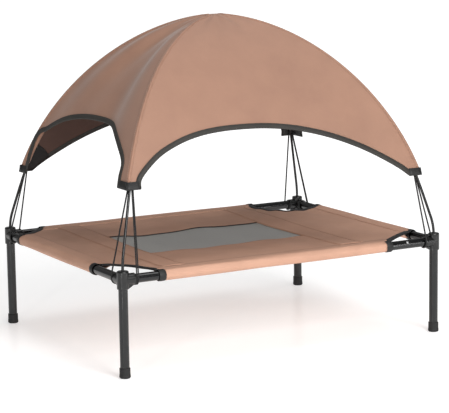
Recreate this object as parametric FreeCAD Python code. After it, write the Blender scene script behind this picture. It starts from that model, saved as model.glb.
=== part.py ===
import FreeCAD, Part
import math
import os

# Raised dog cot with a domed canopy.
# Millimetres. Origin on the floor under the middle of the cot, +X along the long side, +Z up.
# The front is the long side at -Y.

Vector = FreeCAD.Vector
UP = Vector(0, 0, 1)

# ---------------------------------------------------------------- driving dimensions
LEG_SPACING_X = 784.0  # between the leg axes along the long side
LEG_SPACING_Y = 600.0
RAIL_Z = 210.0  # height of the rail axes
TUBE_R = 10.0  # legs and rails are 20 mm steel tube
TUBE_WALL = 1.2
SOCKET_GAP = 0.15  # radial clearance of a tube in its socket

HUB_R = 12.75
HUB_BOTTOM = 191.0
HUB_TOP = 229.0
COLLAR_R = 12.5
COLLAR_REACH = 26.0  # from the leg axis to the mouth of a rail socket
RAIL_END = 12.0  # from the leg axis to the end of a rail
LEG_TOP = 221.8
GUSSET_T = 9.0
HUB_FLOOR = 4.0  # the spigot inside a leg starts this far up the socket
POLE_SOCKET_R = 3.35
POLE_SOCKET_FLOOR = 199.0

FOOT_R = 12.2
FOOT_NECK_R = 11.6
FOOT_H = 22.0
FOOT_FLOOR = 4.0

BUTTON_FROM_LEG = 77.0  # snap buttons at the right-hand ends of the long rails
BUTTON_R = 3.0
BUTTON_TILT = 35.0  # degrees above level, on the outside
BUTTON_PROUD = 1.65  # dome above the rail's surface
BUTTON_HOLE_GAP = 0.1
FLANGE_R = 4.2
FLANGE_TOP = 5.9  # from the rail axis, just short of the stub's bore
FLANGE_T = 1.0
STUB_GAP = 0.1  # radial, between a stub and the rail over it
STUB_REACH = 100.0  # from the leg axis to the end of the stub inside a long rail
LEAF_T = 0.5
LEAF_W = 5.0
LEAF_LENGTH = 30.0

SEAM_IN = 32.0  # from a rail axis to the seam that closes its sleeve
CLOTH_T = 1.6
MESH_T = 1.2
SLEEVE_R = 11.6
SLEEVE_BORE_R = 10.3
CUFF_R = 12.4
BINDING_W = 16.0
BINDING_T = 3.2
BINDING_EDGE = 9.6  # from a rail axis to where the binding meets its cuff
DECK_RISE = 6.0  # the cloth leaves the rails above their axes
BINDING_REACH = 260.0  # a corner's binding lies wholly within this of the leg axis
TALL = 60.0  # height of a cutter that passes right through the cover
MESH_X = 390.0
MESH_Y = 208.0
MESH_AT_X = -34.0  # the cover sits a little to the left on its frame
MESH_AT_Y = 0.0

CURVE_N = 1.757  # exponent of the dome's superellipse
DOME_BASE = HUB_TOP
POLE_R = 3.0
POLE_END_Z = 200.0
POLE_RISE = 490.6  # from the hub top to the pole at the crown
CROSSING_DROP = 6.6  # the second pole passes under the first
POLE_REACH = 482.0  # from the middle to where the pole's curve would meet the hub's height
POLE_STRAIGHT_Z = 246.0  # the pole leaves its socket straight up to here, then leans in
FABRIC_OUT = 12.0  # ridge of the fabric outside the pole, at the base
FABRIC_RISE = 497.5
SIDE_BOW = 22.5  # ridges bow towards the short sides
GORE_T = 2.0
CHANNEL_R = 4.6
CHANNEL_BORE_R = 4.1
FERRULE_R = 3.8
FERRULE_L = 30.0
FERRULE_GAP = 0.08

HEM_W = 11.0  # binding along the arched edges
TIP_BAND_H = 16.0
CHANNEL_START = 6.0  # above the tip's band
TIP_Z = {"front_left": 392.0, "front_right": 362.0, "back_right": 392.0, "back_left": 362.0}

CORD_R = 1.8
CORD_LOOP_R = 12.4  # centre of the elastic's hook round a rail
HOOK_RISE = 7.0  # straight part of the hook above the rail axis
CORD_LOOP_FROM_LEG = 28.6

HALF_X = LEG_SPACING_X / 2
HALF_Y = LEG_SPACING_Y / 2
HALF_DIAGONAL = math.hypot(HALF_X, HALF_Y)
OUT_X = HALF_X / HALF_DIAGONAL
OUT_Y = HALF_Y / HALF_DIAGONAL

# name: (side of X, side of Y, cover's end along the long rail, along the short rail)
CORNERS = {
    "front_left": (-1, -1, 81.0, 125.0),
    "front_right": (1, -1, 117.0, 83.0),
    "back_right": (1, 1, 131.0, 92.0),
    "back_left": (-1, 1, 74.0, 64.0),
}
# from the leg axis along the diagonal to the edge of the round cut-out
CUT_REACH = {"front_left": 82.0, "front_right": 76.0, "back_right": 152.0, "back_left": 55.0}


def save(name, shape):
    """One STEP file per sub-part."""
    shape.exportStep("parts/" + name + ".step")
    print(name, len(shape.Solids), round(shape.Volume / 1000, 2), "cm3", shape.isValid())


def rod(start, direction, radius, length):
    return Part.makeCylinder(radius, length, start, direction)


def pipe(start, direction, radius, bore, length):
    return rod(start, direction, radius, length).cut(rod(start, direction, bore, length))


def revolved(points):
    """A profile of (radius, z) points turned about Z."""
    wire = Part.makePolygon([Vector(r, 0, z) for r, z in points + points[:1]])
    return Part.Face(wire).revolve(Vector(0, 0, 0), UP, 360)


def corner_point(name, z=0.0):
    sx, sy = CORNERS[name][:2]
    return Vector(sx * HALF_X, sy * HALF_Y, z)


def inward(name):
    """The directions of the long and the short rail, away from this corner."""
    sx, sy = CORNERS[name][:2]
    return Vector(-sx, 0, 0), Vector(0, -sy, 0)


# ---------------------------------------------------------------- frame
def hub(name):
    """Three-way corner connector: rail collars, leg socket and the canopy pole's socket."""
    base = corner_point(name, HUB_BOTTOM)
    axis = corner_point(name, RAIL_Z)
    body = rod(base, UP, HUB_R, HUB_TOP - HUB_BOTTOM)
    body = body.makeFillet(3.0, [e for e in body.Edges if e.CenterOfMass.z > HUB_TOP - 0.1])
    for way in inward(name):
        body = body.fuse(rod(axis, way, COLLAR_R, COLLAR_REACH))
        across = UP.cross(way)
        outline = [(0, 0), (HUB_R, 0), (COLLAR_REACH, 8.0), (COLLAR_REACH, 19.0), (0, 19.0)]
        side = base - across * (GUSSET_T / 2)
        points = [side + way * d + UP * h for d, h in outline + outline[:1]]
        body = body.fuse(Part.Face(Part.makePolygon(points)).extrude(across * GUSSET_T))
    socket = rod(base - UP, UP, TUBE_R + SOCKET_GAP, LEG_TOP + 1.2 - HUB_BOTTOM)
    spigot_r = TUBE_R - TUBE_WALL - SOCKET_GAP
    body = body.cut(socket.cut(rod(base + UP * HUB_FLOOR, UP, spigot_r, HUB_TOP - HUB_BOTTOM)))
    for way in inward(name):
        mouth = axis + way * (RAIL_END - 0.4)
        body = body.cut(rod(mouth, way, TUBE_R + SOCKET_GAP, COLLAR_REACH))
    floor = corner_point(name, POLE_SOCKET_FLOOR)
    return body.cut(rod(floor, UP, POLE_SOCKET_R, HUB_TOP)).removeSplitter()


def foot(name):
    outline = [
        (0, 0), (FOOT_R - 2.0, 0), (FOOT_R, 2.0), (FOOT_R, 5.0), (FOOT_NECK_R, 9.0),
        (FOOT_NECK_R, FOOT_H - 0.8), (FOOT_NECK_R - 0.8, FOOT_H),
        (TUBE_R + SOCKET_GAP, FOOT_H), (TUBE_R + SOCKET_GAP, FOOT_FLOOR), (0, FOOT_FLOOR),
    ]
    cap = revolved(outline)
    cap.translate(corner_point(name))
    return cap


def button_place(sy):
    """Point on the rail axis under a snap button, and the direction it points in."""
    tilt = math.radians(BUTTON_TILT)
    out = Vector(0, sy * math.cos(tilt), math.sin(tilt))
    return Vector(HALF_X - BUTTON_FROM_LEG, sy * HALF_Y, RAIL_Z), out


def snap_button(sy):
    """Domed pin with a flange that stops it inside the stub."""
    at, out = button_place(sy)
    pin = rod(at + out * FLANGE_TOP, out, BUTTON_R, TUBE_R + BUTTON_PROUD - FLANGE_TOP)
    tip = [e for e in pin.Edges if (e.CenterOfMass - at).Length > TUBE_R + 1.5]
    flange = rod(at + out * (FLANGE_TOP - FLANGE_T), out, FLANGE_R, FLANGE_T)
    return pin.makeFillet(1.1, tip).fuse(flange).removeSplitter()


def button_hole(sy):
    at, out = button_place(sy)
    return rod(at, out, BUTTON_R + BUTTON_HOLE_GAP, 2 * TUBE_R)


def rail_stub(sy):
    """Inner tube at the right-hand end of a long rail, which the snap button locks to the rail."""
    outer = TUBE_R - TUBE_WALL - STUB_GAP
    start = Vector(HALF_X - RAIL_END, sy * HALF_Y, RAIL_Z)
    stub = pipe(start, Vector(-1, 0, 0), outer, outer - TUBE_WALL, STUB_REACH - RAIL_END)
    return stub.cut(button_hole(sy))


def button_spring(sy):
    """V-shaped leaf: one arm under the button's flange, the other on the stub's far wall."""
    at, out = button_place(sy)
    away = Vector(-1, 0, 0)
    across = away.cross(out)
    high = FLANGE_TOP - FLANGE_T - 0.05
    low = -6.9
    outline = [
        (-4, high), (5, high), (LEAF_LENGTH, -0.4), (LEAF_LENGTH, -1.6), (5, low), (-4, low),
        (-4, low + LEAF_T), (5, low + LEAF_T), (LEAF_LENGTH - 1, -1.2), (LEAF_LENGTH - 1, -0.8),
        (5, high - LEAF_T), (-4, high - LEAF_T),
    ]
    corner = at - across * (LEAF_W / 2)
    points = [corner + away * d + out * h for d, h in outline + outline[:1]]
    return Part.Face(Part.makePolygon(points)).extrude(across * LEAF_W)


def make_frame():
    for name in CORNERS:
        save("corner_connector_" + name, hub(name))
        leg_start = corner_point(name, FOOT_FLOOR + 0.2)
        leg = pipe(leg_start, UP, TUBE_R, TUBE_R - TUBE_WALL, LEG_TOP - FOOT_FLOOR - 0.2)
        save("leg_" + name, leg)
        save("foot_cap_" + name, foot(name))
    for side, sy in (("front", -1), ("back", 1)):
        start = Vector(-HALF_X + RAIL_END, sy * HALF_Y, RAIL_Z)
        length = LEG_SPACING_X - 2 * RAIL_END
        long_rail = pipe(start, Vector(1, 0, 0), TUBE_R, TUBE_R - TUBE_WALL, length)
        save("rail_" + side, long_rail.cut(button_hole(sy)))
        save("snap_button_" + side, snap_button(sy))
    for side, sx in (("left", -1), ("right", 1)):
        start = Vector(sx * HALF_X, -HALF_Y + RAIL_END, RAIL_Z)
        length = LEG_SPACING_Y - 2 * RAIL_END
        short_rail = pipe(start, Vector(0, 1, 0), TUBE_R, TUBE_R - TUBE_WALL, length)
        save("rail_" + side, short_rail)
    save("rail_stubs", Part.makeCompound([rail_stub(-1), rail_stub(1)]))
    save("button_springs", Part.makeCompound([button_spring(-1), button_spring(1)]))


# ---------------------------------------------------------------- bed cover
def corner_circle(name):
    """Centre and radius of the round cut-out of the cover at a corner, to the binding's edge."""
    sx, sy, end_x, end_y = CORNERS[name]
    reach = CUT_REACH[name]
    ax, ay = sx * (HALF_X - end_x), sy * HALF_Y
    bx, by = sx * HALF_X, sy * (HALF_Y - end_y)
    cx, cy = sx * (HALF_X - reach * OUT_X), sy * (HALF_Y - reach * OUT_Y)
    circle = Part.Circle(Vector(ax, ay, 0), Vector(cx, cy, 0), Vector(bx, by, 0))
    return circle.Center, circle.Radius


def corner_disc(name, extra, thickness):
    centre, radius = corner_circle(name)
    start = Vector(centre.x, centre.y, RAIL_Z + DECK_RISE - thickness / 2)
    return rod(start, UP, radius + extra, thickness)


def plate(x0, x1, y0, y1, thickness):
    corner = Vector(x0, y0, RAIL_Z + DECK_RISE - thickness / 2)
    return Part.makeBox(x1 - x0, y1 - y0, thickness, corner)


def trimmed(shape):
    """Without the round cut-outs at the four corners."""
    for name in CORNERS:
        shape = shape.cut(corner_disc(name, BINDING_W, TALL))
    return shape


def touching(d, h, turn):
    """Where a straight line from (d, h) touches the sleeve's round, above (1) or below (-1)."""
    angle = math.atan2(h, d) + turn * math.acos(SLEEVE_R / math.hypot(d, h))
    return SLEEVE_R * math.cos(angle), SLEEVE_R * math.sin(angle)


def rail_sleeve(side):
    """Fabric tube round a rail, drawn to a flat seam on the inner side."""
    top_d, top_h = touching(SEAM_IN, DECK_RISE + CLOTH_T / 2, 1)
    low_d, low_h = touching(SEAM_IN, DECK_RISE - CLOTH_T / 2, -1)
    along_x = side in ("front", "back")
    sign = -1 if side in ("front", "left") else 1
    if along_x:
        ends = [n for n in CORNERS if n.startswith(side)]
        spans = {CORNERS[n][0]: CORNERS[n][2] for n in ends}
        start = -HALF_X + spans[-1] + BINDING_W + 0.2
        stop = HALF_X - spans[1] - BINDING_W - 0.2
        axis, into, way = Vector(start, sign * HALF_Y, RAIL_Z), Vector(0, -sign, 0), Vector(1, 0, 0)
    else:
        ends = [n for n in CORNERS if n.endswith(side)]
        spans = {CORNERS[n][1]: CORNERS[n][3] for n in ends}
        start = -HALF_Y + spans[-1] + BINDING_W + 0.2
        stop = HALF_Y - spans[1] - BINDING_W - 0.2
        axis, into, way = Vector(sign * HALF_X, start, RAIL_Z), Vector(-sign, 0, 0), Vector(0, 1, 0)

    def at(d, h):
        return axis + into * d + UP * h

    outline = Part.Wire([
        Part.Arc(at(top_d, top_h), at(-SLEEVE_R, 0), at(low_d, low_h)).toShape(),
        Part.makeLine(at(low_d, low_h), at(SEAM_IN, DECK_RISE - CLOTH_T / 2)),
        Part.makeLine(at(SEAM_IN, DECK_RISE - CLOTH_T / 2), at(SEAM_IN, DECK_RISE + CLOTH_T / 2)),
        Part.makeLine(at(SEAM_IN, DECK_RISE + CLOTH_T / 2), at(top_d, top_h)),
    ])
    length = stop - start
    sleeve = Part.Face(outline).extrude(way * length)
    sleeve = sleeve.cut(rod(axis, way, SLEEVE_BORE_R, length))
    return trimmed(sleeve)


def corner_binding(name):
    """Webbing along a corner cut-out, ending in a cuff round each rail."""
    sx, sy, end_x, end_y = CORNERS[name]
    band = corner_disc(name, BINDING_W, BINDING_T).cut(corner_disc(name, 0.0, BINDING_T + 2))
    x0, x1 = sorted((sx * (HALF_X - BINDING_EDGE), sx * (HALF_X - BINDING_REACH)))
    y0, y1 = sorted((sy * (HALF_Y - BINDING_EDGE), sy * (HALF_Y - BINDING_REACH)))
    band = band.common(plate(x0, x1, y0, y1, BINDING_T + 2))
    along_x, along_y = inward(name)
    corner = corner_point(name, RAIL_Z)
    cuff_x = pipe(corner + along_x * end_x, along_x, CUFF_R, SLEEVE_BORE_R, BINDING_W)
    cuff_y = pipe(corner + along_y * end_y, along_y, CUFF_R, SLEEVE_BORE_R, BINDING_W)
    return band.fuse([cuff_x, cuff_y]).removeSplitter()


def make_cover():
    inner_x = HALF_X - SEAM_IN
    inner_y = HALF_Y - SEAM_IN
    left_seam = MESH_AT_X - MESH_X / 2
    right_seam = MESH_AT_X + MESH_X / 2
    mesh_front = MESH_AT_Y - MESH_Y / 2
    mesh_back = MESH_AT_Y + MESH_Y / 2
    save("deck_panel_left", trimmed(plate(-inner_x, left_seam, -inner_y, inner_y, CLOTH_T)))
    save("deck_panel_right", trimmed(plate(right_seam, inner_x, -inner_y, inner_y, CLOTH_T)))
    save("deck_strip_front", trimmed(plate(left_seam, right_seam, -inner_y, mesh_front, CLOTH_T)))
    save("deck_strip_back", trimmed(plate(left_seam, right_seam, mesh_back, inner_y, CLOTH_T)))
    save("deck_mesh", plate(left_seam, right_seam, mesh_front, mesh_back, MESH_T))
    for side in ("front", "back", "left", "right"):
        save("rail_sleeve_" + side, rail_sleeve(side))
    for name in CORNERS:
        save("corner_binding_" + name, corner_binding(name))


# ---------------------------------------------------------------- canopy
def curve(angle):
    """A superellipse quarter as shares of its reach and its rise: (1, 0) to (0, 1)."""
    power = 2 / CURVE_N
    return math.cos(angle) ** power, math.sin(angle) ** power


def bowed(share, reach):
    """Plan offsets (x, y) of a ridge from the middle, with its bow towards the short sides."""
    bow = SIDE_BOW * math.sin(math.pi * share)
    return OUT_X * reach * share + OUT_Y * bow, OUT_Y * reach * share - OUT_X * bow


def pole_point(name, angle):
    sx, sy = CORNERS[name][:2]
    share, rise = curve(angle)
    x, y = bowed(share, POLE_REACH)
    drop = 0.0 if sx == sy else CROSSING_DROP * (1 - share) ** 2
    return Vector(sx * x, sy * y, DOME_BASE + POLE_RISE * rise - drop)


def ridge_point(sx, sy, angle, inside):
    share, rise = curve(angle)
    x, y = bowed(share, POLE_REACH + FABRIC_OUT)
    x -= inside * share
    y -= inside * share
    return Vector(sx * x, sy * y, DOME_BASE + (FABRIC_RISE - inside) * rise)


def rounded_wire(points, cuts):
    """Straight runs joined by tangent arcs; cuts gives each corner's share of its shorter run."""
    edges = []
    last = points[0]
    for i in range(1, len(points) - 1):
        back = points[i - 1] - points[i]
        ahead = points[i + 1] - points[i]
        shorter = min(back.Length, ahead.Length)
        back.normalize()
        ahead.normalize()
        cut = cuts.get(i, 0.45) * shorter
        half_turn = (math.pi - back.getAngle(ahead)) / 2
        radius = cut / math.tan(half_turn)
        middle_way = (back + ahead).normalize()
        middle = points[i] + middle_way * (radius / math.cos(half_turn) - radius)
        start, stop = points[i] + back * cut, points[i] + ahead * cut
        edges.append(Part.makeLine(last, start))
        edges.append(Part.Arc(start, middle, stop).toShape())
        last = stop
    edges.append(Part.makeLine(last, points[-1]))
    return Part.Wire(edges)


def swept(points, radius, cuts=None):
    """A round bar along a rounded path."""
    path = rounded_wire(points, cuts or {})
    way = points[1] - points[0]
    disc = Part.Wire(Part.makeCircle(radius, points[0], way))
    return path.makePipeShell([disc], True, False)


STEP = math.radians(7.5)
JOINT_STEP = 5  # the ferrule lies on the run between steps 5 and 6


def half_pole(name):
    """Points of a pole from its socket to the crown."""
    foot_points = [corner_point(name, POLE_END_Z), corner_point(name, POLE_STRAIGHT_Z)]
    return foot_points + [pole_point(name, STEP * k) for k in range(2, 12)]


def ferrule_run(points):
    return points[JOINT_STEP], points[JOINT_STEP + 1]


def pole_parts(first, second):
    """Lower section of each side, the crown section, and the two ferrules."""
    halves = {first: half_pole(first), second: half_pole(second)}
    lows, ferrules, crown = {}, [], {}
    for name, points in halves.items():
        a, b = ferrule_run(points)
        middle = (a + b) * 0.5
        lows[name] = swept(points[: JOINT_STEP + 1] + [middle], POLE_R, {JOINT_STEP: 0.3})
        crown[name] = [middle] + points[JOINT_STEP + 1:]
        way = (b - a).normalize()
        start = middle - way * (FERRULE_L / 2)
        ferrules.append(pipe(start, way, FERRULE_R, POLE_R + FERRULE_GAP, FERRULE_L))
    top = Vector(0, 0, pole_point(first, math.pi / 2).z)
    path = crown[first] + [top] + crown[second][::-1]
    ends = {1: 0.3, len(path) - 2: 0.3}
    return lows, swept(path, POLE_R, ends), ferrules


def channel(name):
    """The sewn channel under a ridge that the pole runs in, from the tip nearly to the crown."""
    points = half_pole(name)
    start_z = TIP_Z[name] + TIP_BAND_H + CHANNEL_START
    above = next(i for i, p in enumerate(points) if p.z > start_z)
    run = points[above] - points[above - 1]
    start = points[above - 1] + run * ((start_z - points[above - 1].z) / run.z)
    hose = swept([start] + points[above:], CHANNEL_R)
    return hose.cut(swept([start] + points[above:], CHANNEL_BORE_R))


def gore_shell(side):
    """One quarter of the dome between two ridges, as a thin closed shell."""
    signs = {
        "front": ((-1, -1), (1, -1)),
        "right": ((1, -1), (1, 1)),
        "back": ((1, 1), (-1, 1)),
        "left": ((-1, 1), (-1, -1)),
    }[side]
    sections = []
    for k in range(13):
        angle = min(math.radians(7.5) * k, math.radians(89.3))
        corners = [
            ridge_point(*signs[0], angle, 0.0), ridge_point(*signs[1], angle, 0.0),
            ridge_point(*signs[1], angle, GORE_T), ridge_point(*signs[0], angle, GORE_T),
        ]
        sections.append(Part.makePolygon(corners + corners[:1]))
    return Part.makeLoft(sections, True, False)


# Arched edge of each side: height at the top of the arch, where that is along the side as a
# share of its half length (-1 at the high-tipped corner), how the two flanks fall, and how
# wide the corner tongue is at the high and at the low tip.
ARCHES = {
    "long": {
        "top": 494.0, "at": -0.15, "near": (205.0, 2.6), "far": (125.0, 2.15),
        "tongues": (33.0, 32.0),
    },
    "short": {
        "top": 509.0, "at": -0.05, "near": (172.0, 2.2), "far": (95.0, 2.35),
        "tongues": (45.0, 34.0),
    },
}
ARCH_SHARES = [-0.70, -0.56, -0.42, -0.28, -0.14, 0.0, 0.14, 0.28, 0.42, 0.56, 0.68, 0.80]
KNEE_H = 22.0  # the edge runs straight up this far from a high tip
HIGH_TIP = TIP_Z["front_left"]
LOW_TIP = TIP_Z["front_right"]


def ridge_at(z, axis):
    """A ridge's distance from the middle along X or Y, at a height."""
    rise = (z - DOME_BASE) / FABRIC_RISE
    share = (1 - rise ** CURVE_N) ** (1 / CURVE_N)
    return bowed(share, POLE_REACH + FABRIC_OUT)[axis]


def arch_points(kind):
    """(distance along the side, height) of the arched edge, from the high tip to the low one."""
    arch = ARCHES[kind]
    axis = 0 if kind == "long" else 1
    half = HALF_X if kind == "long" else HALF_Y
    high_tongue, low_tongue = arch["tongues"]
    points = [(-ridge_at(z, axis) + high_tongue, z) for z in (HIGH_TIP, HIGH_TIP + KNEE_H)]
    for share in ARCH_SHARES:
        away = share - arch["at"]
        fall, power = arch["near"] if away < 0 else arch["far"]
        points.append((share * half, arch["top"] - fall * abs(away) ** power))
    points.append((ridge_at(LOW_TIP, axis) - low_tongue, LOW_TIP))
    return points


def shifted(points, distance):
    """The arched edge moved outwards from its opening, square to itself."""
    moved = []
    for i, (s, z) in enumerate(points):
        before = points[max(i - 1, 0)]
        after = points[min(i + 1, len(points) - 1)]
        ds, dz = after[0] - before[0], after[1] - before[1]
        length = math.hypot(ds, dz)
        moved.append((s - distance * dz / length, z + distance * ds / length))
    return moved


def arch_prism(side, distance):
    """Everything under the arched edge of a side, as a prism square to that side."""
    kind = "long" if side in ("front", "back") else "short"
    points = shifted(arch_points(kind), distance)
    # the high-tipped corner is at -X on the front and at +X on the back, at -Y on the left
    # and at +Y on the right
    turn = 1 if side in ("front", "left") else -1
    if kind == "long":
        placed = [Vector(turn * s, 0, z) for s, z in points]
        way = Vector(0, turn * -600.0, 0)
    else:
        placed = [Vector(0, turn * s, z) for s, z in points]
        way = Vector(turn * -600.0, 0, 0)
    edge = Part.BSplineCurve()
    edge.interpolate(placed)
    first, last = placed[0], placed[-1]
    down = UP * 300.0
    outline = Part.Wire([
        edge.toShape(),
        Part.makeLine(last, last - down),
        Part.makeLine(last - down, first - down),
        Part.makeLine(first - down, first),
    ])
    return Part.Face(outline).extrude(way)


def below(name, height):
    """A block at one corner, under a height."""
    sx, sy = CORNERS[name][:2]
    x0 = 120.0 if sx > 0 else -500.0
    y0 = 60.0 if sy > 0 else -420.0
    return Part.makeBox(380.0, 360.0, height, Vector(x0, y0, 0))


def largest(shape):
    """The main solid, without slivers left by a cut."""
    return max(shape.Solids, key=lambda s: s.Volume)


def make_canopy():
    bands = {name: [] for name in CORNERS}
    for side in ("front", "right", "back", "left"):
        shell = gore_shell(side)
        opened = shell.cut(arch_prism(side, 0.0))
        for name in CORNERS:
            opened = opened.cut(below(name, TIP_Z[name]))
            if side in name:
                band = opened.common(below(name, TIP_Z[name] + TIP_BAND_H))
                bands[name].append(largest(band))
            opened = opened.cut(below(name, TIP_Z[name] + TIP_BAND_H))
        outer = arch_prism(side, HEM_W)
        save("canopy_hem_" + side, largest(opened.common(outer)))
        save("canopy_panel_" + side, largest(opened.cut(outer)))
    for name, pieces in bands.items():
        save("canopy_tip_" + name, pieces[0].fuse(pieces[1:]).removeSplitter())
        save("pole_channel_" + name, channel(name))
    ferrules = []
    for first, second in (("front_left", "back_right"), ("front_right", "back_left")):
        lows, crown, joints = pole_parts(first, second)
        for name, low in lows.items():
            save("pole_lower_" + name, low)
        save("pole_crown_" + ("over" if first == "front_left" else "under"), crown)
        ferrules += joints
    save("pole_ferrules", Part.makeCompound(ferrules))


# ---------------------------------------------------------------- elastics
def elastic(name):
    """Two elastic cords from a canopy tip, each hooked under one rail beside its socket."""
    tip = TIP_Z[name]
    level = math.asin(((tip + 4 - DOME_BASE) / POLE_RISE) ** (CURVE_N / 2))
    pole = pole_point(name, level)
    r = CORD_LOOP_R
    round_rail = 0.985 * r
    cords = []
    for way, other in zip(inward(name), reversed(inward(name))):
        middle = corner_point(name, RAIL_Z) + way * CORD_LOOP_FROM_LEG
        top = pole + way * (POLE_R + CORD_R + 0.6) - other * 1.0
        path = [
            middle + other * r + UP * HOOK_RISE,
            middle + other * r - UP * r,
            middle - other * r - UP * r,
            middle - other * r + UP * HOOK_RISE,
            top,
        ]
        share = round_rail / (r + HOOK_RISE)
        cords.append(swept(path, CORD_R, {1: share, 2: share, 3: 0.3}))
    return Part.makeCompound(cords)


os.makedirs("parts", exist_ok=True)
make_frame()
make_cover()
make_canopy()
for corner in CORNERS:
    save("elastic_cords_" + corner, elastic(corner))
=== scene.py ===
# %% [markdown]
# # A raised dog cot with a dome canopy
# A cloth deck is stretched on a black tube frame, and a tan canopy stands over it on two crossed
# poles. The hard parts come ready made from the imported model. This lesson dresses them, and makes
# the cloth, the tape, the elastic cords and the stitching that the model only holds room for.

# %% Load the frame
import math
import random
import bmesh
import bpy
from mathutils import Matrix, Vector


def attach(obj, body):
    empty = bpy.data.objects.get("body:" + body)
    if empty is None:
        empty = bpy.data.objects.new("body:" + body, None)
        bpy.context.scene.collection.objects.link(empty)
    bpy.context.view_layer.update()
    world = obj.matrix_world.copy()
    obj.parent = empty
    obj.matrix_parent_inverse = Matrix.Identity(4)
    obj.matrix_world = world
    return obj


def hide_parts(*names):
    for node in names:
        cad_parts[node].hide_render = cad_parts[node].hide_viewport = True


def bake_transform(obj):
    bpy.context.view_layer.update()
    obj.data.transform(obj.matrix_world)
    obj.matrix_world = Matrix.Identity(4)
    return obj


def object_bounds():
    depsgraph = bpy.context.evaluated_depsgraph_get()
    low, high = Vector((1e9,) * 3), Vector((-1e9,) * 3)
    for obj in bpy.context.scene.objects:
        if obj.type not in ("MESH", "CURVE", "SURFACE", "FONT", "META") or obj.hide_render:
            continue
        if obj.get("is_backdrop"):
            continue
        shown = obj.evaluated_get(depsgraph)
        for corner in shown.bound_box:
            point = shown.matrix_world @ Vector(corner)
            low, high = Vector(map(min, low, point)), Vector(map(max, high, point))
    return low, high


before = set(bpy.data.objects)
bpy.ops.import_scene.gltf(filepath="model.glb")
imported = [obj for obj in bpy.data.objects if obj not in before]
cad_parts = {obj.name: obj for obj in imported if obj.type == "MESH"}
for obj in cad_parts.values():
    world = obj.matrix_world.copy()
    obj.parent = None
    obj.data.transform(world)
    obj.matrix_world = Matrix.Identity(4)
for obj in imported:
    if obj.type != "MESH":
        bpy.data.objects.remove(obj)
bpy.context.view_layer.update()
MM = 0.001
UP = Vector((0, 0, 1))

# %% [markdown]
# ## The camera
# A long lens from far off keeps the four legs nearly parallel. The camera's axes are built from
# its heading, its tilt and a slight roll, because that says more than a rotation in one go.

# %% Camera
HEADING, TILT, ROLL = math.radians(28.81), math.radians(9.84), math.radians(-0.84)
forward = Vector((math.sin(HEADING) * math.cos(TILT), math.cos(HEADING) * math.cos(TILT), -math.sin(TILT)))
level_right = Vector((math.cos(HEADING), -math.sin(HEADING), 0))
level_up = level_right.cross(forward)
right = math.cos(ROLL) * level_right + math.sin(ROLL) * level_up
above = -math.sin(ROLL) * level_right + math.cos(ROLL) * level_up
lens = bpy.data.cameras.new("camera")
lens.lens = 156.9
lens.sensor_width = 36
lens.clip_end = 60
camera = bpy.data.objects.new("camera", lens)
bpy.context.collection.objects.link(camera)
camera.matrix_world = Matrix.Translation((-2.1241, -3.8927, 1.0525)) @ Matrix((right, above, -forward)).transposed().to_4x4()
bpy.context.scene.camera = camera
print("camera at", tuple(round(v, 2) for v in camera.location))

# %% [markdown]
# ## Sizes
# The cloth has to meet the poles and rails, so the sizes that shape them are said once here, in
# metres. The dome is a superellipse: at exponent 2 it would be an ellipse, and below 2 its
# shoulders are a little flatter, as on poles that are bent by their ends.

# %% Sizes
HALF_X, HALF_Y, RAIL_Z = 392 * MM, 300 * MM, 210 * MM
DIAGONAL = math.hypot(HALF_X, HALF_Y)
OUT_X, OUT_Y = HALF_X / DIAGONAL, HALF_Y / DIAGONAL
CURVE_N = 1.757
DOME_BASE, CLOTH_RISE, POLE_RISE = 229 * MM, 497.5 * MM, 490.6 * MM
CLOTH_REACH, POLE_REACH = 494 * MM, 482 * MM
CROSSING_DROP, SIDE_BOW = 6.6 * MM, 22.5 * MM
TIP = {"front_left": 392 * MM, "front_right": 362 * MM, "back_right": 392 * MM, "back_left": 362 * MM}
SIGNS = {"front_left": (-1, -1), "front_right": (1, -1), "back_right": (1, 1), "back_left": (-1, 1)}
# where the cover ends: distance from the leg along the long rail, along the short rail
COVER_END = {
    "front_left": (81 * MM, 125 * MM), "front_right": (117 * MM, 83 * MM),
    "back_right": (131 * MM, 92 * MM), "back_left": (74 * MM, 64 * MM),
}
# from the leg along the diagonal to the edge of each round cut-out
CUT_REACH = {"front_left": 82 * MM, "front_right": 76 * MM, "back_right": 152 * MM, "back_left": 55 * MM}
# each side runs from its high-tipped corner to its low-tipped one
SIDES = {
    "front": ("front_left", "front_right", 0), "right": ("back_right", "front_right", 1),
    "back": ("back_right", "back_left", 0), "left": ("front_left", "back_left", 1),
}
OUTWARD = {
    "front": Vector((0, -1, 0)), "back": Vector((0, 1, 0)),
    "left": Vector((-1, 0, 0)), "right": Vector((1, 0, 0)),
}
print("corners", ", ".join(SIGNS))

# %% [markdown]
# ## Finishes
# Every finish is a small node tree on one Principled shader. One helper adds a node with its
# settings and its links, and one turns an sRGB hex colour to the linear values that shaders use.

# %% Colour and node helpers
def linear(code, alpha=1.0):
    parts = [int(code[i:i + 2], 16) / 255 for i in (1, 3, 5)]
    return tuple(c / 12.92 if c <= 0.04045 else ((c + 0.055) / 1.055) ** 2.4 for c in parts) + (alpha,)


def add(tree, kind, settings=None, **inputs):
    """A node of that kind, with its settings, and its inputs set or linked by name."""
    node = tree.nodes.new(kind)
    for key, value in (settings or {}).items():
        setattr(node, key, value)
    for key, value in inputs.items():
        socket = node.inputs[int(key[1:])] if key[0] == "i" and key[1:].isdigit() else node.inputs[key.replace("_", " ")]
        if isinstance(value, bpy.types.NodeSocket):
            tree.links.new(value, socket)
        else:
            socket.default_value = value
    return node


def finish_called(name):
    material = bpy.data.materials.new(name)
    material.use_nodes = True
    return material, material.node_tree, material.node_tree.nodes["Principled BSDF"]


def wave_scale(period):
    """The Wave texture's Scale that repeats every period metres."""
    return 2 * math.pi / (20 * period)

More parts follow.
